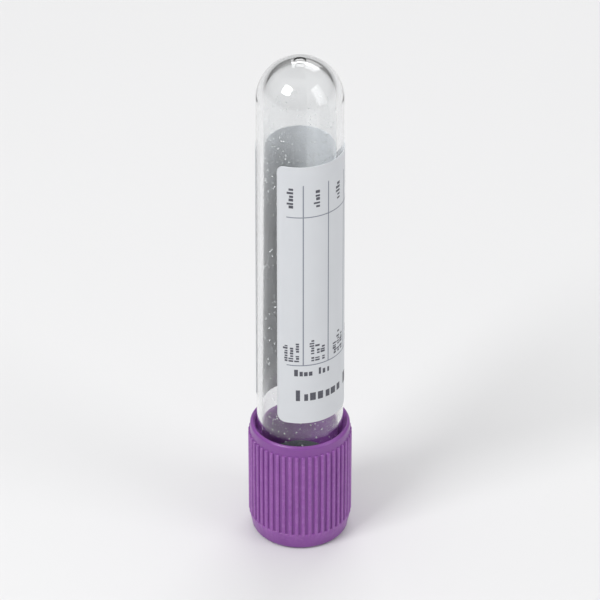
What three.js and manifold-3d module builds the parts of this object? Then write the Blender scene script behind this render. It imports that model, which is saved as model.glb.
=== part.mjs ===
// Evacuated blood collection tube: a round-ended clear plastic tube with a paper label wrapped
// most of the way round it, closed by a rubber stopper that a ribbed plastic safety shield holds.
// Lengths are millimetres. Each piece is turned about the tube's own axis, +Z from the closed
// end at 0 up to the cap, and the finished tube is then stood on its cap's flat top.
import * as THREE from 'three';
import { mergeVertices } from 'three/addons/utils/BufferGeometryUtils.js';
import Module from 'manifold-3d';

const degrees = Math.PI / 180;

// Tube
const tubeLength = 75; // closed end to rim
const tubeRadius = 6.5; // outside, at the rim
const tubeDraft = 0.2; // what the radius loses between the rim and the round end
const tubeWall = 1.1;
const rimFillet = 0.3; // outer edge of the rim
const mouthChamfer = 0.4; // inner edge of the rim, which leads the plug in
const gateRadius = 0.9; // flat at the tip of the round end, where the moulding gate was
const gateDepth = 0.15; // the gate mark is sunk, so that the tube has no burr

// Stopper
const plugLength = 7.5; // below the rim
const plugTaper = 0.5; // what the plug's lower end is smaller by
const plugTaperLength = 1.3;
const sealCount = 3; // rings round the plug that press on the bore
const sealHeight = 0.3; // how far a ring stands out of the plug
const sealPitch = 1.9;
const flangeThickness = 2.5; // seats on the rim
const flangeFillet = 0.3;
const neckRadius = 4.9; // groove that the shield's ledge sits in
const lipRadius = 5.9; // above the ledge
const lipThickness = 1.1;
const lipFillet = 0.5;
const dishRadius = 3.2; // bowl in the stopper's top that leads the needle in
const dishDepth = 2.4;
const dishFillet = 0.2;
const lowerWellRadius = 2.9; // open into the tube
const lowerWellDepth = 5;
const lowerWellDome = 1.2; // height of the well's domed end
const lowerWellDraft = 0.25; // what the well's mouth is wider by

// Shield
const skirtOverlap = 13.4; // how far the skirt reaches down over the tube
const skirtWall = 0.75; // between the ribs
const skirtChamfer = 0.35; // lead-in at the skirt's open end
const hemFillet = 0.55; // outer lower edge
const ledgeReach = 0.05; // clearance of the ledge round the stopper's neck
const ledgeThickness = 0.8;
const ledgeSlope = 0.5; // lead-in under the ledge, which lets the stopper's lip snap past
const ringThickness = 1.1; // flat top round the needle's hole
const topHoleRadius = 3.45;
const topHoleFillet = 0.25;
const topFillet = 0.8;
const bandStep = 0.22; // the smooth band over the ribs stands out from the wall by this
const bandTaper = 0.42; // and narrows by this up to the flat top
const ribCount = 48;
const ribHeight = 0.3;
const ribWidth = 0.66;
const ribEnd = 0.24; // a rib's ends round off over this length and narrow by this
const ribSink = 0.2; // a rib's root reaches this far into the wall
const ribsAboveHem = 1.7; // from the skirt's open end
const ribsBelowTop = 2.8; // from the flat top

// Label
const labelHeight = 44;
const labelWidth = 33; // round the tube
const labelThickness = 0.1;
const labelBelowSkirt = 3.8; // clear band between the skirt and the label
const labelCorner = 1.2;
const windowTurn = 152.5 * degrees; // middle of the clear window, from +X towards +Y

// Fits
const skirtClearance = 0.25; // round the tube
const seat = 0.03; // between faces that touch
const plugClearance = 0.03; // sealing rings to bore
const labelGap = 0.03;

const facets = ribCount; // one flat under each rib, and all round walls line up
const past = 1; // how far a cutting solid runs past what it cuts

// Heights along the tube that several pieces share
const endRadius = tubeRadius - tubeDraft;
const endCentre = Math.sqrt(endRadius ** 2 - gateRadius ** 2);
const skirtBottom = tubeLength - skirtOverlap;
const flangeBottom = tubeLength + seat;
const flangeTop = flangeBottom + flangeThickness;
const ledgeBottom = flangeTop + seat;
const ledgeTop = ledgeBottom + ledgeThickness;
const lipBottom = ledgeTop + seat;
const lipTop = lipBottom + lipThickness;
const ringBottom = lipTop + seat;
const shieldTop = ringBottom + ringThickness;
const skirtBore = tubeRadius + skirtClearance;
const wallRadius = skirtBore + skirtWall;
const ribBottom = skirtBottom + ribsAboveHem;
const ribTop = shieldTop - ribsBelowTop;

const outerRadiusAt = z => {
  const share = (z - endCentre) / (tubeLength - endCentre);
  return endRadius + tubeDraft * share;
};
const boreRadiusAt = z => outerRadiusAt(z) - tubeWall;

const wasm = await Module();
wasm.setup();

// Points of an arc in a profile, both ends included; angles in degrees, 0 pointing outwards. An
// arc with a height of its own is part of an ellipse.
function arc(centreR, centreZ, radius, from, to, steps, height = radius) {
  const curve = new THREE.EllipseCurve(
    centreR, centreZ, radius, height, from * degrees, to * degrees, to < from,
  );
  return curve.getPoints(steps).map(p => p.toArray());
}

// A profile from single points and lists of them, without the repeats where two lists meet.
function outline(...pieces) {
  const pairs = pieces.flatMap(piece => (typeof piece[0] === 'number' ? [piece] : piece));
  const points = pairs.map(([r, z]) => new THREE.Vector2(r, z));
  return points.filter((p, i) => i === 0 || p.distanceTo(points[i - 1]) > 1e-4);
}

function solidOf(geometry) {
  geometry.deleteAttribute('normal');
  geometry.deleteAttribute('uv');
  const merged = mergeVertices(geometry, 1e-4);
  const corners = Array.from(merged.index.array);
  const kept = [];
  for (let i = 0; i < corners.length; i += 3) {
    const [a, b, c] = corners.slice(i, i + 3);
    if (a !== b && b !== c && c !== a) kept.push(a, b, c);
  }
  return new wasm.Manifold(new wasm.Mesh({
    numProp: 3,
    vertProperties: new Float32Array(merged.attributes.position.array),
    triVerts: new Uint32Array(kept),
  }));
}

function geometryOf(solid) {
  const mesh = solid.getMesh();
  const geometry = new THREE.BufferGeometry();
  geometry.setAttribute('position', new THREE.BufferAttribute(mesh.vertProperties, 3));
  geometry.setIndex(new THREE.BufferAttribute(mesh.triVerts, 1));
  geometry.computeVertexNormals();
  return geometry;
}

// Turns a profile about +Z.
function turned(profile) {
  return solidOf(new THREE.LatheGeometry(profile, facets).rotateX(Math.PI / 2));
}

function tube() {
  const tip = 90 - Math.asin(gateRadius / endRadius) / degrees;
  const innerEnd = endRadius - tubeWall;
  return turned(outline(
    [0, gateDepth],
    [gateRadius - gateDepth, gateDepth],
    arc(0, endCentre, endRadius, -tip, 0, 9),
    [outerRadiusAt(tubeLength - rimFillet), tubeLength - rimFillet],
    arc(tubeRadius - rimFillet, tubeLength - rimFillet, rimFillet, 0, 90, 3),
    [boreRadiusAt(tubeLength) + mouthChamfer, tubeLength],
    [boreRadiusAt(tubeLength - mouthChamfer), tubeLength - mouthChamfer],
    arc(0, endCentre, innerEnd, 0, -90, 8),
  ));
}

// One sealing ring's bulge on the plug, from its lower side to its upper.
function sealingRing(middle) {
  const top = boreRadiusAt(middle) - plugClearance;
  const root = top - sealHeight;
  const spread = 2 * sealHeight;
  return [
    [root, middle - spread],
    [top - sealHeight / 4, middle - spread / 2],
    [top, middle],
    [top - sealHeight / 4, middle + spread / 2],
    [root, middle + spread],
  ];
}

function stopper() {
  const plugBottom = tubeLength - plugLength;
  const firstSeal = plugBottom + plugTaperLength + sealPitch / 2;
  const seals = [];
  for (let i = 0; i < sealCount; i++) seals.push(...sealingRing(firstSeal + i * sealPitch));
  const plugRoot = seals[0][0];
  const lowerWellTop = plugBottom + lowerWellDepth;
  const lowerWellShoulder = lowerWellTop - lowerWellDome;
  const dishEdge = lipTop - dishFillet;
  return turned(outline(
    arc(0, lowerWellShoulder, lowerWellRadius, 90, 0, 3, lowerWellDome),
    [lowerWellRadius + lowerWellDraft, plugBottom],
    [plugRoot - plugTaper, plugBottom],
    [plugRoot, plugBottom + plugTaperLength],
    seals,
    [plugRoot, flangeBottom],
    [tubeRadius - flangeFillet, flangeBottom],
    [tubeRadius, flangeBottom + flangeFillet],
    [tubeRadius, flangeTop - flangeFillet],
    [tubeRadius - flangeFillet, flangeTop],
    [neckRadius, flangeTop],
    [neckRadius, lipBottom],
    [lipRadius, lipBottom],
    arc(lipRadius - lipFillet, lipTop - lipFillet, lipFillet, 0, 90, 3),
    arc(dishRadius + dishFillet, dishEdge, dishFillet, 90, 180, 2),
    arc(0, dishEdge, dishRadius, 0, -90, 6, dishDepth - dishFillet),
  ));
}

// The shield's outside without its ribs, closed flat at both ends.
function shieldBlank() {
  const bandRadius = wallRadius + bandStep;
  const bandBottom = ribTop - ribEnd;
  const topEdge = bandRadius - bandTaper - topFillet;
  return turned(outline(
    [0, skirtBottom],
    arc(wallRadius - hemFillet, skirtBottom + hemFillet, hemFillet, -90, 0, 3),
    [wallRadius, bandBottom],
    [bandRadius, bandBottom + bandStep],
    arc(topEdge, shieldTop - topFillet, topFillet, 0, 90, 5),
    [0, shieldTop],
  ));
}

// Everything that is hollow in the shield, as one turned solid that runs past both ends.
function shieldHollow() {
  const ledgeBore = neckRadius + ledgeReach;
  const recess = lipRadius + ledgeReach;
  return turned(outline(
    [0, skirtBottom - past],
    [skirtBore + skirtChamfer, skirtBottom - past],
    [skirtBore + skirtChamfer, skirtBottom],
    [skirtBore, skirtBottom + skirtChamfer],
    [skirtBore, ledgeBottom - ledgeSlope],
    [skirtBore - ledgeSlope / 2, ledgeBottom],
    [ledgeBore, ledgeBottom],
    [ledgeBore, ledgeTop],
    [recess, ledgeTop],
    [recess, ringBottom],
    [topHoleRadius, ringBottom],
    [topHoleRadius, shieldTop - topHoleFillet],
    arc(topHoleRadius + topHoleFillet, shieldTop - topHoleFillet, topHoleFillet, 180, 90, 2),
    [topHoleRadius + topHoleFillet, shieldTop + past],
    [0, shieldTop + past],
  ));
}

// One rib with rounded ends: a narrow bar that its bevel swells to full size.
function rib() {
  const half = ribWidth / 2 - ribEnd;
  const section = new THREE.Shape();
  section.moveTo(wallRadius - ribSink, -half);
  section.lineTo(wallRadius, -half);
  section.absellipse(wallRadius, 0, ribHeight - ribEnd, half, -Math.PI / 2, Math.PI / 2);
  section.lineTo(wallRadius - ribSink, half);
  const bar = new THREE.ExtrudeGeometry(section, {
    depth: ribTop - ribBottom - 2 * ribEnd,
    curveSegments: 2,
    bevelThickness: ribEnd,
    bevelSize: ribEnd,
    bevelSegments: 2,
  });
  return solidOf(bar.translate(0, 0, ribBottom + ribEnd));
}

function shield() {
  const pitch = 360 / ribCount;
  let body = shieldBlank();
  for (let i = 0; i < ribCount; i++) body = body.add(rib().rotate([0, 0, (i + 0.5) * pitch]));
  return body.subtract(shieldHollow());
}

// What the label leaves bare, as a bar across the tube's axis. Its ends flare, to round the
// label's corners.
function labelWindow(bottom, radius) {
  const top = bottom + labelHeight;
  const halfAngle = Math.PI - labelWidth / (2 * radius);
  const half = radius * Math.sin(halfAngle);
  const c = labelCorner;
  const shape = new THREE.Shape();
  shape.moveTo(-half - c, bottom - past);
  shape.lineTo(half + c, bottom - past);
  shape.lineTo(half + c, bottom);
  shape.absarc(half + c, bottom + c, c, -Math.PI / 2, -Math.PI, true);
  shape.absarc(half + c, top - c, c, Math.PI, Math.PI / 2, true);
  shape.lineTo(half + c, top + past);
  shape.lineTo(-half - c, top + past);
  shape.absarc(-half - c, top - c, c, Math.PI / 2, 0, true);
  shape.absarc(-half - c, bottom + c, c, 0, -Math.PI / 2, true);
  const bar = new THREE.ExtrudeGeometry(shape, {
    depth: 2 * radius, curveSegments: 2, bevelEnabled: false,
  });
  const outward = new THREE.Vector3(Math.cos(windowTurn), Math.sin(windowTurn), 0);
  const up = new THREE.Vector3(0, 0, 1);
  const across = new THREE.Vector3().crossVectors(up, outward);
  return solidOf(bar.applyMatrix4(new THREE.Matrix4().makeBasis(across, up, outward)));
}

function label() {
  const top = skirtBottom - labelBelowSkirt;
  const bottom = top - labelHeight;
  const inside = z => outerRadiusAt(z) + labelGap;
  const sleeve = turned(outline(
    [inside(bottom), bottom],
    [inside(bottom) + labelThickness, bottom],
    [inside(top) + labelThickness, top],
    [inside(top), top],
    [inside(bottom), bottom],
  ));
  return sleeve.subtract(labelWindow(bottom, inside((top + bottom) / 2)));
}

const finishes = {
  clearPlastic: new THREE.MeshStandardMaterial({
    color: 0xdfe6e8, roughness: 0.08, metalness: 0, transparent: true, opacity: 0.35,
  }),
  rubber: new THREE.MeshStandardMaterial({ color: 0x5d6a64, roughness: 0.75, metalness: 0 }),
  violet: new THREE.MeshStandardMaterial({ color: 0x7a3f9a, roughness: 0.35, metalness: 0 }),
  paper: new THREE.MeshStandardMaterial({ color: 0xe6e8ea, roughness: 0.6, metalness: 0 }),
};

function named(name, solid, material) {
  const mesh = new THREE.Mesh(geometryOf(solid), material);
  mesh.name = name;
  return mesh;
}

const upright = new THREE.Group();
upright.add(
  named('tube', tube(), finishes.clearPlastic),
  named('stopper', stopper(), finishes.rubber),
  named('shield', shield(), finishes.violet),
  named('label', label(), finishes.paper),
);

// The round end can't stand and the round sides roll, so the tube stands on its cap. The origin
// is in the middle of the cap's flat top, on the surface under it.
upright.rotation.x = Math.PI;
upright.position.z = shieldTop;

const standing = new THREE.Group();
standing.add(upright);

export default standing;
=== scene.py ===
import math
import random

import bmesh
import bpy
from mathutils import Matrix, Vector


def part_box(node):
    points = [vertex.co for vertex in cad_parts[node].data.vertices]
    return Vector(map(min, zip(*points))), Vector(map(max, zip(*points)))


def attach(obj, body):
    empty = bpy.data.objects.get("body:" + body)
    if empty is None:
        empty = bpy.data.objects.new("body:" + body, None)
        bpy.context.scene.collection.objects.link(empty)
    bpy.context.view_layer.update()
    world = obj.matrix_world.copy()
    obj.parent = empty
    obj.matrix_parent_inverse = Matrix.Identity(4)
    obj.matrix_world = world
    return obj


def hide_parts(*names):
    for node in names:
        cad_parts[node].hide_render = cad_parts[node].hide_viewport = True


# An empty blood collection tube, stood on the flat top of its ribbed violet cap. The finishes and
# the fine meshes are made here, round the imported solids. Lengths in the dictionaries are in
# millimetres, heights are above the floor and angles are in degrees.

millimetre = 0.001
oneLevel = 0.015  # heights closer than this are on one level
tiny = 0.00001  # shorter lengths count as none

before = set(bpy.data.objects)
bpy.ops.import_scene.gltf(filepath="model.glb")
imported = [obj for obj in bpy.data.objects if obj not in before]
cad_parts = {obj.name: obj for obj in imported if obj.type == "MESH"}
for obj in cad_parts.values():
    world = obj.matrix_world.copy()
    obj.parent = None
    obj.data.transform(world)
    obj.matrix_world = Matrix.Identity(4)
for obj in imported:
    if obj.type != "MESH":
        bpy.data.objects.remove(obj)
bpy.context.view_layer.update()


def rings(node):
    # Height and radius of each ring of corners that a turned solid has, lowest first
    found = set()
    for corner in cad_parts[node].data.vertices:
        spot = corner.co / millimetre
        found.add((round(spot.z, 2), round(math.hypot(spot.x, spot.y), 2)))
    return sorted(found)


def radiiAt(node, height):
    return [radius for level, radius in rings(node) if abs(level - height) < oneLevel]


def heights(node):
    low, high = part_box(node)
    return low.z / millimetre, high.z / millimetre


print("frame loaded: " + ", ".join(sorted(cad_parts)))


# Shader nodes

class Signal:
    # A socket's output. Sums written on it add Math nodes.
    def __init__(self, graph, socket):
        self.graph = graph
        self.socket = socket

    def maths(self, operation, first, second):
        return self.graph.node("ShaderNodeMath", {"operation": operation}, {0: first, 1: second})

    def __add__(self, other):
        return self.maths("ADD", self, other)

    def __radd__(self, other):
        return self.maths("ADD", other, self)

    def __sub__(self, other):
        return self.maths("SUBTRACT", self, other)

    def __rsub__(self, other):
        return self.maths("SUBTRACT", other, self)

    def __mul__(self, other):
        return self.maths("MULTIPLY", self, other)

    def __rmul__(self, other):
        return self.maths("MULTIPLY", other, self)


class Graph:
    # The nodes of a material or of the world
    def __init__(self, owner):
        owner.use_nodes = True
        self.owner = owner
        self.tree = owner.node_tree
        self.tree.nodes.clear()

    def pick(self, sockets, key):
        live = [socket for socket in sockets if socket.enabled]
        if isinstance(key, int):
            return live[key]
        return next(socket for socket in live if socket.name == key)

    def node(self, kind, settings=None, sockets=None, output=0):
        made = self.tree.nodes.new(kind)
        for name, value in (settings or {}).items():
            if name == "stops":
                self.setStops(made.color_ramp, value)
            else:
                setattr(made, name, value)
        for key, value in (sockets or {}).items():
            self.feed(self.pick(made.inputs, key), value)
        if not made.outputs:
            return None
        return Signal(self, self.pick(made.outputs, output))

    def feed(self, socket, value):
        if isinstance(value, Signal):
            self.tree.links.new(value.socket, socket)
        elif socket.type == "RGBA":
            socket.default_value = (*value, 1)
        else:
            socket.default_value = value

    def setStops(self, ramp, stops):
        while len(ramp.elements) < len(stops):
            ramp.elements.new(1)
        for element, (position, grey) in zip(ramp.elements, stops):
            element.position = position
            element.color = (grey, grey, grey, 1)

    def places(self, stretch=(1, 1, 1)):
        spot = self.node("ShaderNodeTexCoord", output="Object")
        return self.node("ShaderNodeVectorMath", {"operation": "MULTIPLY"}, {0: spot, 1: stretch})

    def noise(self, size, detail=2, roughness=0.5, stretch=(1, 1, 1)):
        # Soft patches about `size` millimetres across, from 0 to 1
        return self.node("ShaderNodeTexNoise", {}, {
            "Vector": self.places(stretch),
            "Scale": 1 / (size * millimetre),
            "Detail": detail,
            "Roughness": roughness,
        })

    def attribute(self, name):
        return self.node("ShaderNodeAttribute", {"attribute_name": name}, output="Fac")

    def steps(self, value, *stops):
        return self.node("ShaderNodeValToRGB", {"stops": stops}, {"Fac": value}, "Color")

    def blend(self, share, first, second):
        sockets = {"Factor": share, "A": first, "B": second}
        return self.node("ShaderNodeMix", {"data_type": "RGBA"}, sockets)

    def bump(self, height, depth, below=None):
        # `depth` is in millimetres, from the lowest point of the relief to its highest
        sockets = {"Height": height, "Distance": depth * millimetre, "Strength": 1}
        if below is not None:
            sockets["Normal"] = below
        return self.node("ShaderNodeBump", {}, sockets)

    def plastic(self, sockets):
        return self.node("ShaderNodeBsdfPrincipled", {}, sockets)

    def done(self, surface, output="ShaderNodeOutputMaterial"):
        self.node(output, {}, {"Surface": surface})
        return self.owner


def material(name):
    return Graph(bpy.data.materials.new(name))


# Mesh helpers

def arc(centre, radius, start, end, steps, rise=None):
    # Points of an arc in a profile, both ends included. With a rise it is part of an ellipse.
    rise = radius if rise is None else rise
    turns = [math.radians(start + (end - start) * i / steps) for i in range(steps + 1)]
    return [(centre[0] + radius * math.cos(t), centre[1] + rise * math.sin(t)) for t in turns]


def softened(corners, steps=4):
    # A profile whose corners given as (radius, height, reach) are cut back by `reach` along both
    # edges and bridged with a curve. Repeated points are left out.
    points = []
    for i, corner in enumerate(corners):
        spot = Vector(corner[:2])
        if len(corner) == 2:
            points.append(spot)
            continue
        before = Vector(corners[i - 1][:2])
        after = Vector(corners[(i + 1) % len(corners)][:2])
        start = spot + (before - spot).normalized() * corner[2]
        end = spot + (after - spot).normalized() * corner[2]
        for j in range(steps + 1):
            share = j / steps
            points.append(start.lerp(spot, share).lerp(spot.lerp(end, share), share))
    kept = points[:1]
    for point in points[1:]:
        if (point - kept[-1]).length > tiny:
            kept.append(point)
    return kept


def added(name, data):
    made = bpy.data.objects.new(name, data)
    bpy.context.scene.collection.objects.link(made)
    return made


def meshObject(name, corners, faces, finish, sharpAngle=35):
    mesh = bpy.data.meshes.new(name)
    mesh.from_pydata([[value * millimetre for value in corner] for corner in corners], [], faces)
    solid = bmesh.new()
    solid.from_mesh(mesh)
    bmesh.ops.recalc_face_normals(solid, faces=solid.faces)
    solid.to_mesh(mesh)
    solid.free()
    mesh.shade_smooth()
    mesh.set_sharp_from_angle(angle=math.radians(sharpAngle))
    mesh.materials.append(finish)
    return added(name, mesh)


def turned(profile, angles, lift=None):
    # Spins a profile of (radius, height) about the tube's axis. `lift` may push a corner
    # outwards. A profile that misses the axis closes on itself.
    corners, rows = [], []
    for radius, height in profile:
        if radius < tiny:
            rows.append([len(corners)] * len(angles))
            corners.append((0, 0, height))
            continue
        rows.append(range(len(corners), len(corners) + len(angles)))
        for angle in angles:
            far = radius + (lift(radius, height, angle) if lift else 0)
            corners.append((far * math.cos(angle), far * math.sin(angle), height))
    closed = profile[0][0] > tiny
    faces = []
    for lower, upper in zip(rows, [*rows[1:], rows[0]] if closed else rows[1:]):
        for i in range(len(angles)):
            after = (i + 1) % len(angles)
            face = [lower[i], lower[after], upper[after], upper[i]]
            faces.append(list(dict.fromkeys(face)))  # a triangle at the axis
    return corners, faces


def evenAngles(count):
    return [2 * math.pi * i / count for i in range(count)]


def place(made, body, slot, *nodes):
    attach(made, body)
    if nodes:
        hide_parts(*nodes)


# Clear tube

tube = {
    "sides": 192,
    "boreEndSteps": 32,
    "roundEndSteps": 40,
    "rimSteps": 8,
    "rimFillet": 0.3,
    "mouthChamfer": 0.4,
    "edgeFillet": 0.08,
    "gateRadius": 0.9,
    "gateDepth": 0.15,
    "refraction": 1.57,
    "tint": (0.938, 0.944, 0.947),
    "lampTint": (0.865, 0.874, 0.878),  # of what the lamps send through
    "roughness": 0.01,
    "haze": {"size": 1.5, "detail": 4},
    "hazeDulls": 0.035,
    "wave": {"size": 7, "detail": 1, "stretch": (1, 1, 0.3)},
    "waveDepth": 0.012,
}

rimHeight, endHeight = heights("tube")
middle = (rimHeight + endHeight) / 2
equator = min(level for level, radius in rings("tube") if level > middle)
endRadius = max(radiiAt("tube", equator))
wall = endRadius - min(radiiAt("tube", equator))
rimRadius = max(radius for level, radius in rings("tube"))


def tubeRadiusAt(height):
    share = (height - equator) / (rimHeight - equator)
    return endRadius + (rimRadius - endRadius) * share


def boreRadiusAt(height):
    return tubeRadiusAt(height) - wall


def clearPlastic():
    finish = material("ClearPlastic")
    haze = finish.noise(**tube["haze"])
    wave = finish.noise(**tube["wave"])
    body = finish.plastic({
        "Base Color": tube["tint"],
        "Roughness": haze * tube["hazeDulls"] + tube["roughness"],
        "IOR": tube["refraction"],
        "Transmission Weight": 1,
        "Normal": finish.bump(wave, tube["waveDepth"]),
    })
    through = finish.node("ShaderNodeBsdfTransparent", {}, {"Color": tube["lampTint"]})
    lamps = finish.node("ShaderNodeLightPath", output="Is Shadow Ray")
    return finish.done(finish.node("ShaderNodeMixShader", {}, {0: lamps, 1: body, 2: through}))


def tubeBody():
    fillet, chamfer, edge = tube["rimFillet"], tube["mouthChamfer"], tube["edgeFillet"]
    gate, gateHeight = tube["gateRadius"], endHeight - tube["gateDepth"]
    tip = 90 - math.degrees(math.asin(gate / endRadius))  # where the gate mark's edge lies
    profile = softened([
        *arc((0, equator), endRadius - wall, 90, 0, tube["boreEndSteps"]),
        (boreRadiusAt(rimHeight + chamfer), rimHeight + chamfer, edge),
        (boreRadiusAt(rimHeight) + chamfer, rimHeight, edge),
        *arc((rimRadius - fillet, rimHeight + fillet), fillet, -90, 0, tube["rimSteps"]),
        *arc((0, equator), endRadius, 0, tip, tube["roundEndSteps"]),
        (gate - tube["gateDepth"], gateHeight, edge),
        (0, gateHeight),
    ])
    corners, faces = turned(profile, evenAngles(tube["sides"]))
    made = meshObject("tubeBody", corners, faces, clearPlastic())
    place(made, "tube", "clear_plastic", "tube")


tubeBody()
print("tube made")


# Rubber stopper

stopper = {
    "sides": 160,
    "bowlSteps": 20,
    "bowlFilletSteps": 6,
    "lipSteps": 10,
    "wellSteps": 16,
    "plugTaper": 0.5,
    "plugTaperLength": 1.3,
    "plugClearance": 0.03,
    "sealCount": 3,
    "sealSteps": 12,
    "sealHeight": 0.3,
    "sealLength": 1.2,
    "sealPitch": 1.9,
    "seatClearance": 0.03,
    "flangeThickness": 2.5,
    "flangeFillet": 0.3,
    "neckRadius": 4.9,
    "lipRadius": 5.9,
    "lipThickness": 1.1,
    "lipFillet": 0.5,
    "edgeFillet": 0.12,
    "bowlRadius": 3.2,
    "bowlDepth": 2.4,
    "bowlFillet": 0.2,
    "wellRadius": 2.9,
    "wellDraft": 0.25,
    "wellDepth": 5,
    "wellDome": 1.2,
    "dark": (0.036, 0.05, 0.043),
    "light": (0.088, 0.113, 0.1),
    "bloomed": (0.17, 0.19, 0.175),
    "cloud": {"size": 2.2, "detail": 4, "roughness": 0.6},
    "bloom": {"size": 0.9, "detail": 3},
    "bloomStops": ((0.5, 0), (0.75, 1)),
    "bloomShare": 0.25,
    "grain": {"size": 0.12, "detail": 3, "roughness": 0.6},
    "grainDepth": 0.006,
    "grainPolish": 0.3,
    "roughness": 0.82,
    "gloss": 0.4,
}


def rubber():
    finish = material("StopperRubber")
    cloud = finish.noise(**stopper["cloud"])
    bloom = finish.steps(finish.noise(**stopper["bloom"]), *stopper["bloomStops"])
    grain = finish.noise(**stopper["grain"])
    colour = finish.blend(cloud, stopper["dark"], stopper["light"])
    return finish.done(finish.plastic({
        "Base Color": finish.blend(bloom * stopper["bloomShare"], colour, stopper["bloomed"]),
        "Roughness": stopper["roughness"] - grain * stopper["grainPolish"],
        "Specular IOR Level": stopper["gloss"],
        "Normal": finish.bump(grain, stopper["grainDepth"]),
    }))


def sealingRing(level):
    # One soft bulge round the plug, which presses on the bore, from its upper end down
    top = boreRadiusAt(level) - stopper["plugClearance"]
    height, half = stopper["sealHeight"], stopper["sealLength"] / 2
    steps = stopper["sealSteps"]
    points = []
    for i in range(steps + 1):
        share = 1 - 2 * i / steps
        swell = (1 + math.cos(math.pi * share)) / 2
        points.append((top - height + height * swell, level - half * share))
    return points


def stopperRubber():
    low, high = heights("stopper")
    flangeHigh = rimHeight - stopper["seatClearance"]
    flangeLow = flangeHigh - stopper["flangeThickness"]
    lipHigh = low + stopper["lipThickness"]
    taperLow = high - stopper["plugTaperLength"]
    seals = []
    for i in range(stopper["sealCount"])[::-1]:
        seals += sealingRing(taperLow - stopper["sealPitch"] * (i + 0.5))
    root = seals[-1][0]
    well, wellDome = stopper["wellRadius"], stopper["wellDome"]
    shoulder = high - stopper["wellDepth"] + wellDome
    neck, lip, lipRound = stopper["neckRadius"], stopper["lipRadius"], stopper["lipFillet"]
    bowl, bowlRound = stopper["bowlRadius"], stopper["bowlFillet"]
    bowlRise = stopper["bowlDepth"] - bowlRound
    bowlEdge = bowl + bowlRound, low + bowlRound
    flangeRound, edge = stopper["flangeFillet"], stopper["edgeFillet"]
    profile = softened([
        *arc((0, low + bowlRound), bowl, 90, 0, stopper["bowlSteps"], bowlRise),
        *arc(bowlEdge, bowlRound, 180, 270, stopper["bowlFilletSteps"]),
        *arc((lip - lipRound, low + lipRound), lipRound, -90, 0, stopper["lipSteps"]),
        (lip, lipHigh, edge),
        (neck, lipHigh, edge),
        (neck, flangeLow, edge),
        (rimRadius, flangeLow, flangeRound),
        (rimRadius, flangeHigh, flangeRound),
        (root, flangeHigh, edge),
        *seals,
        (root, taperLow, edge),
        (root - stopper["plugTaper"], high, edge),
        (well + stopper["wellDraft"], high, edge),
        *arc((0, shoulder), well, 0, -90, stopper["wellSteps"], wellDome),
    ])
    corners, faces = turned(profile, evenAngles(stopper["sides"]))
    made = meshObject("stopperRubber", corners, faces, rubber())
    place(made, "closure", "stopper_rubber", "stopper")


stopperRubber()
print("stopper made")


# Ribbed cap

cap = {
    "skirtOverlap": 13.4,
    "skirtWall": 0.75,
    "skirtClearance": 0.25,
    "skirtChamfer": 0.35,
    "hemFillet": 0.55,
    "hemEnd": 74,
    "edgeFillet": 0.06,
    "ringThickness": 1.1,
    "holeRadius": 3.45,
    "holeFillet": 0.25,
    "topFillet": 0.8,
    "bandStep": 0.22,
    "bandTaper": 0.42,
    "ledgeBore": 4.95,
    "ledgeLow": 2.26,
    "ledgeHigh": 3.06,
    "ledgeSlope": 0.5,
    "recess": 5.95,
    "ribCount": 48,
    "ribHeight": 0.295,
    "ribWidth": 0.66,
    "ribEnd": 0.24,
    "ribsBelowHem": 1.7,
    "ribsAboveFloor": 2.8,
    "ribColumns": 10,
    "ribEndRows": 6,
    "holdingRows": (0.12, 0.24),  # above the band, to keep the shading even
    "topSteps": 12,
    "bandSteps": 4,
    "hemSteps": 9,
    "holeSteps": 6,
    "sharpAngle": 40,
    "deep": (0.18, 0.044, 0.255),
    "pale": (0.325, 0.1, 0.405),
    # the lighter colour of the rib crests' patches: partly scuffs, partly a painted highlight
    "scuffAndSheenColour": (0.46, 0.22, 0.55),
    "cloud": {"size": 3.5, "detail": 3, "roughness": 0.55},
    "cloudDulls": 0.1,
    # painted highlight and shade: the colour leans to pale on the rib crests and to deep in the
    # valleys
    "crestHighlightShare": 0.35,
    # patches on the rib crests, lighter and duller: partly wear, partly a painted highlight
    "scuffAndSheen": {"size": 0.5, "detail": 4, "roughness": 0.65},
    "scuffAndSheenStops": ((0.45, 0), (0.7, 1)),
    "scuffAndSheenShare": 0.35,
    "rubDulls": 0.12,
    "grain": {"size": 0.09, "roughness": 0.6},
    "grainDepth": 0.0012,
    "flow": {"size": 0.8, "detail": 3, "stretch": (1, 1, 0.12)},
    "flowDepth": 0.004,
    "roughness": 0.26,
    "refraction": 1.5,
    "scatterShare": 0.12,
    "scatterRadius": (0.6, 0.35, 1.0),
    "scatterDepth": 0.6,
}

capBore = rimRadius + cap["skirtClearance"]
capWall = capBore + cap["skirtWall"]
hemHeight = rimHeight + cap["skirtOverlap"]
ribStart = cap["ribsAboveFloor"]
ribFinish = hemHeight - cap["ribsBelowHem"]
ribPitch = 2 * math.pi / cap["ribCount"]
ribHalf = cap["ribWidth"] / 2 / capWall


def ribLift(radius, height, angle):
    # How far a rib stands out at this place: a half round bar with rounded ends
    if radius < capWall - tiny:
        return 0
    across = ((angle / ribPitch) % 1 - 0.5) * ribPitch / ribHalf
    beyond = max(ribStart + cap["ribEnd"] - height, height - ribFinish + cap["ribEnd"], 0)
    room = 1 - across ** 2 - (beyond / cap["ribEnd"]) ** 2
    if room <= 0:
        return 0
    return max(capWall + cap["ribHeight"] * math.sqrt(room) - radius, 0)


def ribAngles():
    # Columns close together on a rib's flanks, and one in each valley
    columns = cap["ribColumns"]
    angles = []
    for i in range(cap["ribCount"]):
        angles.append(i * ribPitch)
        for j in range(columns + 1):
            turn = (j / columns - 0.5) * math.pi
            angles.append((i + 0.5) * ribPitch + ribHalf * math.sin(turn))
    return angles


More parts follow.
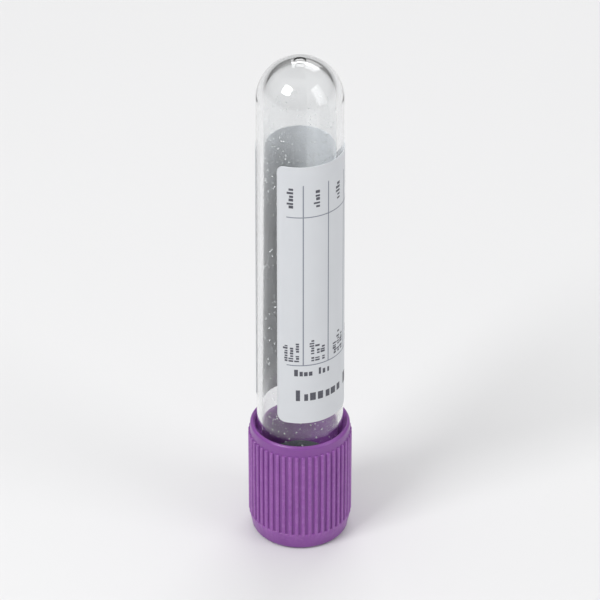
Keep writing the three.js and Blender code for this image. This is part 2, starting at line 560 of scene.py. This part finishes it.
def violetPlastic():
    finish = material("VioletPlastic")
    cloud = finish.noise(**cap["cloud"])
    grain = finish.noise(**cap["grain"])
    flow = finish.noise(**cap["flow"])
    crest = finish.attribute("crest")
    # Patches on the rib crests, lighter and duller: partly scuffs and partly a painted highlight
    scuffAndSheen = crest * finish.steps(finish.noise(**cap["scuffAndSheen"]), *cap["scuffAndSheenStops"])
    # Painted highlight and shade: the colour is lighter on the rib crests and darker in the
    # valleys
    tone = cloud * (1 - cap["crestHighlightShare"]) + crest * cap["crestHighlightShare"]
    colour = finish.blend(tone, cap["deep"], cap["pale"])
    relief = finish.bump(flow, cap["flowDepth"])
    return finish.done(finish.plastic({
        "Base Color": finish.blend(scuffAndSheen * cap["scuffAndSheenShare"], colour, cap["scuffAndSheenColour"]),
        "Roughness": cloud * cap["cloudDulls"] + scuffAndSheen * cap["rubDulls"] + cap["roughness"],
        "IOR": cap["refraction"],
        "Subsurface Weight": cap["scatterShare"],
        "Subsurface Radius": cap["scatterRadius"],
        "Subsurface Scale": cap["scatterDepth"] * millimetre,
        "Normal": finish.bump(grain, cap["grainDepth"], relief),
    }))


def shieldMoulding():
    step, ribEnd = cap["bandStep"], cap["ribEnd"]
    bandHigh = ribStart + ribEnd
    topFillet, edge = cap["topFillet"], cap["edgeFillet"]
    ringEdge = capWall + step - cap["bandTaper"] - topFillet
    hem = cap["hemFillet"]
    slope, ledgeHigh = cap["ledgeSlope"], cap["ledgeHigh"]
    hole, holeRound = cap["holeRadius"], cap["holeFillet"]
    # Rows of corners that crowd towards the ribs' rounded ends
    ribEndRows = arc((capWall, ribFinish - ribEnd), 0, 0, 90, cap["ribEndRows"], ribEnd)
    profile = softened([
        *arc((ringEdge, topFillet), topFillet, -90, 0, cap["topSteps"]),
        *arc((capWall, bandHigh - step), step, 0, 90, cap["bandSteps"]),
        *[(capWall, bandHigh + row) for row in cap["holdingRows"]],
        *ribEndRows,
        *arc((capWall - hem, hemHeight - hem), hem, 0, cap["hemEnd"], cap["hemSteps"]),
        (capBore, hemHeight - cap["skirtChamfer"], edge),
        (capBore, ledgeHigh + slope, edge),
        (capBore - slope / 2, ledgeHigh, edge),
        (cap["ledgeBore"], ledgeHigh, edge),
        (cap["ledgeBore"], cap["ledgeLow"], edge),
        (cap["recess"], cap["ledgeLow"], edge),
        (cap["recess"], cap["ringThickness"], edge),
        (hole, cap["ringThickness"], edge),
        *arc((hole + holeRound, holeRound), holeRound, 180, 270, cap["holeSteps"]),
    ])
    corners, faces = turned(profile, ribAngles(), ribLift)
    made = meshObject("shieldMoulding", corners, faces, violetPlastic(), cap["sharpAngle"])
    # How far out each corner stands on a rib; it steers the painted highlight and the scuffs on
    # the crests
    crest = made.data.attributes.new("crest", "FLOAT", "POINT")
    for corner, mark in zip(made.data.vertices, crest.data):
        out = math.hypot(corner.co.x, corner.co.y) / millimetre - capWall
        mark.value = min(max(out / cap["ribHeight"], 0), 1)
    place(made, "closure", "violet_plastic", "shield")


shieldMoulding()
print("cap made")


# Label

label = {
    "thickness": 0.1,
    "corner": 1.2,
    "cornerRows": 9,
    "rows": 24,
    "columns": 120,
    "sharpAngle": 50,
    "paper": (0.70, 0.715, 0.74),
    "shade": (0.63, 0.65, 0.68),
    # painted shade along the label's edges
    "edge": (0.5, 0.51, 0.53),
    "edgeShadeShare": 0.5,
    "tone": {"size": 6, "detail": 3},
    "fibre": {"size": 0.25, "detail": 5, "roughness": 0.7, "stretch": (1, 1, 0.45)},
    "fibreShare": 0.18,
    "fibreDepth": 0.004,
    "fibreDulls": 0.16,
    "roughness": 0.5,
    "gloss": 0.45,
}


def widestGap(angles):
    # Start and end of the widest stretch between neighbouring angles
    ordered = sorted(angles)
    pairs = list(zip(ordered, [*ordered[1:], ordered[0] + 2 * math.pi]))
    return max(pairs, key=lambda pair: pair[1] - pair[0])


labelLow, labelHigh = heights("label")
labelLength = labelHigh - labelLow
labelCorners = [corner.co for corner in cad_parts["label"].data.vertices]
windowStart, windowEnd = widestGap([math.atan2(spot.y, spot.x) for spot in labelCorners])
labelTurn = 2 * math.pi - (windowEnd - windowStart)  # how far round the tube the label goes
labelFace = max(radiiAt("label", labelLow)), max(radiiAt("label", labelHigh))  # radii
labelWidth = labelTurn * sum(labelFace) / 2


def onLabel(across, along, lift=0):
    # A place on the label's face. `across` runs round the tube from the clear window, and `along`
    # away from the label's edge at the cap.
    share = along / labelLength
    radius = labelFace[0] + (labelFace[1] - labelFace[0]) * share + lift
    turn = windowStart - across / labelWidth * labelTurn
    return radius * math.cos(turn), radius * math.sin(turn), labelLow + along


def sheetFaces(rows, columns):
    # Faces of a closed sheet whose corners come as outer and inner in turn, row by row
    faces = []

    def corner(row, column, inner):
        return 2 * (row * columns + column) + inner

    for row in range(rows - 1):
        for column in range(columns - 1):
            around = [(row, column), (row, column + 1), (row + 1, column + 1), (row + 1, column)]
            faces.append([corner(*spot, 0) for spot in around])
            faces.append([corner(*spot, 1) for spot in around[::-1]])
    rim = [(0, column) for column in range(columns)]
    rim += [(row, columns - 1) for row in range(1, rows)]
    rim += [(rows - 1, column) for column in range(columns - 2, -1, -1)]
    rim += [(row, 0) for row in range(rows - 2, 0, -1)]
    for spot, after in zip(rim, [*rim[1:], rim[0]]):
        faces.append([corner(*spot, 0), corner(*spot, 1), corner(*after, 1), corner(*after, 0)])
    return faces


def paper():
    finish = material("LabelPaper")
    tone = finish.noise(**label["tone"])
    fibre = finish.noise(**label["fibre"])
    colour = finish.blend(tone, label["paper"], label["shade"])
    colour = finish.blend(fibre * label["fibreShare"], colour, label["shade"])
    # Painted shade: the colour darkens towards the label's edges
    edge = finish.attribute("edge") * label["edgeShadeShare"]
    return finish.done(finish.plastic({
        "Base Color": finish.blend(edge, colour, label["edge"]),
        "Roughness": fibre * label["fibreDulls"] + label["roughness"],
        "Specular IOR Level": label["gloss"],
        "Normal": finish.bump(fibre, label["fibreDepth"]),
    }))


def labelLevels():
    # Heights on the label of its rows of corners, which crowd at its rounded corners
    corner, cornerRows, rows = label["corner"], label["cornerRows"], label["rows"]
    turns = [math.radians(90 * i / cornerRows) for i in range(cornerRows + 1)]
    eases = [corner * (1 - math.cos(turn)) for turn in turns]
    straight = [corner + (labelLength - 2 * corner) * i / rows for i in range(1, rows)]
    return [*eases, *straight, *[labelLength - ease for ease in eases[::-1]]]


def labelPaper():
    corner, levels = label["corner"], labelLevels()
    columns = label["columns"] + 1
    corners, edges = [], []
    for along in levels:
        near = corner - min(corner, along, labelLength - along)
        # How much the rounded corners take off this row at each end
        inset = corner - math.sqrt(max(corner ** 2 - near ** 2, 0))
        for i in range(columns):
            across = inset + (labelWidth - 2 * inset) * i / label["columns"]
            corners.append(onLabel(across, along))
            corners.append(onLabel(across, along, -label["thickness"]))
            # corners on the label's rim carry the painted edge shade
            rim = i in (0, columns - 1) or along in (levels[0], levels[-1])
            edges += [float(rim)] * 2
    faces = sheetFaces(len(levels), columns)
    made = meshObject("labelPaper", corners, faces, paper(), label["sharpAngle"])
    edge = made.data.attributes.new("edge", "FLOAT", "POINT")
    edge.data.foreach_set("value", edges)
    place(made, "tube", "label_paper", "label")


labelPaper()
print("label made")


# Print on the label: plain bars, rules and blocks

prints = {
    "lift": 0.002,
    "thickness": 0.008,
    "step": 0.4,
    "group": (2, 7),  # fewest and most bars that stand together
    # Shares of a row's size: a bar's width and height, the pitch of bars, and the space after them
    "widths": (0.28, 0.5),
    "heights": (0.62, 0.7, 1),
    "pitch": 0.62,
    "space": 0.55,
    "sharpAngle": 50,
    "density": {"size": 0.3, "detail": 4, "roughness": 0.7},
    "densityDulls": 0.2,
    "fade": 0.15,
    "reliefDepth": 0.003,
    "roughness": 0.36,
    # Boxes side by side, ruled along the tube and across both ends, with small rows in each
    "boxCount": 4,
    "boxPitch": 3.95,
    "firstRule": 17.8,
    "ruleWidth": 0.17,
    "ruleReach": (10.2, 41),
    "crossRules": (10.2, 35.6),
    "crossRuleWidth": 0.16,
    "crossRuleReach": (15.2, 32.2),
    "noteRows": 3,
    "notePitch": 0.85,
}


def boxRules():
    rules = []
    for i in range(prints["boxCount"]):
        start = prints["firstRule"] + prints["boxPitch"] * i
        rules.append((start, start + prints["ruleWidth"], *prints["ruleReach"]))
    for along in prints["crossRules"]:
        rules.append((*prints["crossRuleReach"], along, along + prints["crossRuleWidth"]))
    return rules


def boxNotes(start, along, length, shorter, size):
    # A few short rows in every box, of three lengths in turn
    notes = []
    for i in range(prints["boxCount"]):
        for j in range(prints["noteRows"]):
            across = start + prints["boxPitch"] * i + prints["notePitch"] * j
            notes.append((across, along, length - shorter * ((i + 2 * j) % 3), size, True))
    return notes


def rowsBeside(count, start, pitch, along, length, size, shorter=0):
    # Rows side by side, all of one length or of three lengths in turn
    rows = []
    for i in range(count):
        rows.append((start + pitch * i, along, length - shorter * (i % 3), size, True))
    return rows


# Blocks are (across from, across to, along from, along to), and rows of bars (across, along,
# length, size, whether the row runs along the tube)
inks = {
    "Violet": {
        "colour": (0.13, 0.03, 0.26),
        "seed": 3,
        "blocks": [(1.1, 2, 5.5, 24.3), (1.15, 1.95, 25.9, 27), (1.15, 1.95, 29.9, 40)],
        "rows": [(1, 0.9, 2.8, 1.1, True)],
    },
    "Dark": {
        "colour": (0.03, 0.03, 0.05),
        "seed": 11,
        "blocks": [],
        "rows": [
            (3.1, 3.9, 11.1, 1.0, True), (4.5, 3.9, 8.7, 0.9, True), (5.7, 3.9, 6.3, 0.8, True),
            (16.2, 4, 15, 1.9, False), (25.6, 8.4, 6, 1.15, False),
            *boxNotes(18.5, 10.9, 3.9, 0.7, 0.7),
            *rowsBeside(prints["boxCount"] + 1, 15.4, prints["boxPitch"], 37.2, 3.4, 0.95),
            (3.2, 16, 24, 0.75, True),
        ],
    },
    "Grey": {
        "colour": (0.19, 0.21, 0.26),
        "seed": 51,
        "blocks": boxRules(),
        "rows": [
            (4.5, 16, 20, 0.6, True),
            *rowsBeside(6, 8, 0.75, 3, 11, 0.45, 0.9),
            *rowsBeside(4, 8, 0.8, 18, 21, 0.45),
        ],
    },
}


class Sheet:
    # Patches of one ink, gathered into one piece
    def __init__(self, seed):
        self.chance = random.Random(seed)
        self.corners = []
        self.faces = []

    def patch(self, start, end, low, high):
        # From `start` to `end` round the tube and from `low` to `high` along it
        count = max(1, math.ceil((end - start) / prints["step"]))
        first = len(self.corners)
        for along in (low, high):
            for i in range(count + 1):
                across = start + (end - start) * i / count
                for lift in (prints["lift"] + prints["thickness"], prints["lift"]):
                    self.corners.append(onLabel(across, along, lift))
        for face in sheetFaces(2, count + 1):
            self.faces.append([first + corner for corner in face])

    def row(self, start, along, length, size, lengthwise):
        # Short bars in groups, as closely set print looks from afar
        way = 0
        while way < length:
            for _ in range(self.chance.randint(*prints["group"])):
                width = size * self.chance.uniform(*prints["widths"])
                tall = size * self.chance.choice(prints["heights"])
                if way + width > length:
                    break
                if lengthwise:
                    self.patch(start, start + tall, along + way, along + way + width)
                else:
                    self.patch(start + way, start + way + width, along, along + tall)
                way += size * prints["pitch"]
            way += size * prints["space"]


def inkFinish(name, colour):
    finish = material(name + "Ink")
    density = finish.noise(**prints["density"])
    fibre = finish.noise(**label["fibre"])
    fade = prints["fade"]
    faded = tuple(a + (b - a) * fade for a, b in zip(colour, label["paper"]))
    return finish.done(finish.plastic({
        "Base Color": finish.blend(density, colour, faded),
        "Roughness": density * prints["densityDulls"] + prints["roughness"],
        "Normal": finish.bump(fibre, prints["reliefDepth"]),
    }))


def printed(name, ink):
    sheet = Sheet(ink["seed"])
    for block in ink["blocks"]:
        sheet.patch(*block)
    for row in ink["rows"]:
        sheet.row(*row)
    finish = inkFinish(name, ink["colour"])
    made = meshObject("print" + name, sheet.corners, sheet.faces, finish, prints["sharpAngle"])
    place(made, "tube", "label_paper")


for name, ink in inks.items():
    printed(name, ink)
print("print made")


# Dried additive on the bore

additive = {
    "count": 4200,
    "seed": 8,
    "low": 14.5,
    "high": 73,
    "crowding": 0.8,  # below 1 there are more droplets towards the round end
    "small": 0.035,
    "large": 0.15,
    "rarity": 3,  # the higher, the fewer large droplets
    "flatness": 0.28,
    "shoulder": (0.72, 0.7),  # how wide and how high up, as shares of the droplet
    "sides": 7,
    "gap": 0.003,
    "clear": (0.78, 0.81, 0.82),
    "frosted": (0.92, 0.93, 0.93),
    "frost": {"size": 0.06, "detail": 3, "roughness": 0.6},
    "frostDepth": 0.004,
    "frostDulls": 0.3,
    "roughness": 0.35,
    "alpha": 0.55,
}


def driedAdditive():
    finish = material("DriedAdditive")
    frost = finish.noise(**additive["frost"])
    return finish.done(finish.plastic({
        "Base Color": finish.blend(frost, additive["clear"], additive["frosted"]),
        "Roughness": frost * additive["frostDulls"] + additive["roughness"],
        "Alpha": additive["alpha"],
        "Normal": finish.bump(frost, additive["frostDepth"]),
    }))


def droplet(corners, faces, height, angle, radius):
    # A low dome, whose flat foot lies along the bore
    out = Vector((math.cos(angle), math.sin(angle), 0))
    side = Vector((-out.y, out.x, 0))
    up = Vector((0, 0, 1))
    bore = boreRadiusAt(height) - additive["gap"] - radius ** 2 / (2 * boreRadiusAt(height))
    centre = out * bore + up * height
    first = len(corners)
    sides = additive["sides"]
    for share, depth in ((1, 0), additive["shoulder"]):
        for i in range(sides):
            turn = 2 * math.pi * i / sides
            spot = centre + (side * math.cos(turn) + up * math.sin(turn)) * radius * share
            corners.append(tuple(spot - out * radius * additive["flatness"] * depth))
    corners.append(tuple(centre - out * radius * additive["flatness"]))
    for i in range(sides):
        after = (i + 1) % sides
        faces.append([first + i, first + after, first + sides + after, first + sides + i])
        faces.append([first + sides + i, first + sides + after, first + 2 * sides])
    faces.append([first + i for i in range(sides)][::-1])


def additiveBeads():
    chance = random.Random(additive["seed"])
    low, high = additive["low"], additive["high"]
    small, large = additive["small"], additive["large"]
    corners, faces = [], []
    for _ in range(additive["count"]):
        height = low + (high - low) * chance.random() ** additive["crowding"]
        radius = small + (large - small) * chance.random() ** additive["rarity"]
        droplet(corners, faces, height, chance.uniform(0, 2 * math.pi), radius)
    made = meshObject("additiveBeads", corners, faces, driedAdditive())
    place(made, "tube", "dried_additive")


additiveBeads()
print("additive made")


# Floor, lamps and camera

studio = {
    "floorHalf": 3000,
    "floorPale": (0.75, 0.75, 0.755),
    "floorShade": (0.735, 0.735, 0.74),
    "floorPatches": {"size": 60},
    "floorRoughness": 0.75,
    "floorGloss": 0.2,
    "sky": ((0.05, 0.16), (0.7, 0.7)),  # height of the view, and its grey
    "elevation": 33.2,
    "distance": 534,
    "view": 88,  # the width seen from there
    "sensor": 36,
    "clipStart": 10,
    # Name, place, width and height, watts
    "lamps": [
        ("keyLamp", (-350, -300, 500), (250, 250), 2.3),
        ("fillLamp", (450, -250, 300), (250, 500), 0.8),
        ("backLamp", (100, 500, 450), (500, 300), 1.2),
    ],
}

lookAt = Vector((0, 0, endHeight / 2 * millimetre))


def aim(made, where):
    made.location = where
    made.rotation_euler = (lookAt - made.location).to_track_quat("-Z", "Y").to_euler()


def softFloor():
    finish = material("PaleFloor")
    patches = finish.noise(**studio["floorPatches"])
    return finish.done(finish.plastic({
        "Base Color": finish.blend(patches, studio["floorPale"], studio["floorShade"]),
        "Roughness": studio["floorRoughness"],
        "Specular IOR Level": studio["floorGloss"],
    }))


def floor():
    half = studio["floorHalf"]
    corners = [(-half, -half, 0), (half, -half, 0), (half, half, 0), (-half, half, 0)]
    meshObject("floor", corners, [(0, 1, 2, 3)], softFloor())


def lamp(name, where, size, power):
    data = bpy.data.lights.new(name, "AREA")
    data.shape = "RECTANGLE"
    data.size, data.size_y = [side * millimetre for side in size]
    data.energy = power
    aim(added(name, data), Vector(where) * millimetre)


def surroundings():
    world = Graph(bpy.data.worlds.new("studio"))
    spot = world.node("ShaderNodeTexCoord", output="Generated")
    height = world.node("ShaderNodeSeparateXYZ", {}, {0: spot}, "Z")
    sky = world.steps(height, *studio["sky"])
    glow = world.node("ShaderNodeBackground", {}, {"Color": sky})
    bpy.context.scene.world = world.done(glow, "ShaderNodeOutputWorld")


def camera():
    data = bpy.data.cameras.new("camera")
    data.sensor_width = studio["sensor"]
    data.lens = studio["sensor"] * studio["distance"] / studio["view"]
    data.clip_start = studio["clipStart"] * millimetre
    rise = math.radians(studio["elevation"])
    away = Vector((0, -math.cos(rise), math.sin(rise))) * studio["distance"] * millimetre
    made = added("camera", data)
    aim(made, lookAt + away)
    bpy.context.scene.camera = made


floor()
for lampRow in studio["lamps"]:
    lamp(*lampRow)
surroundings()
camera()
bpy.context.scene.view_settings.view_transform = "Standard"
print("studio made")
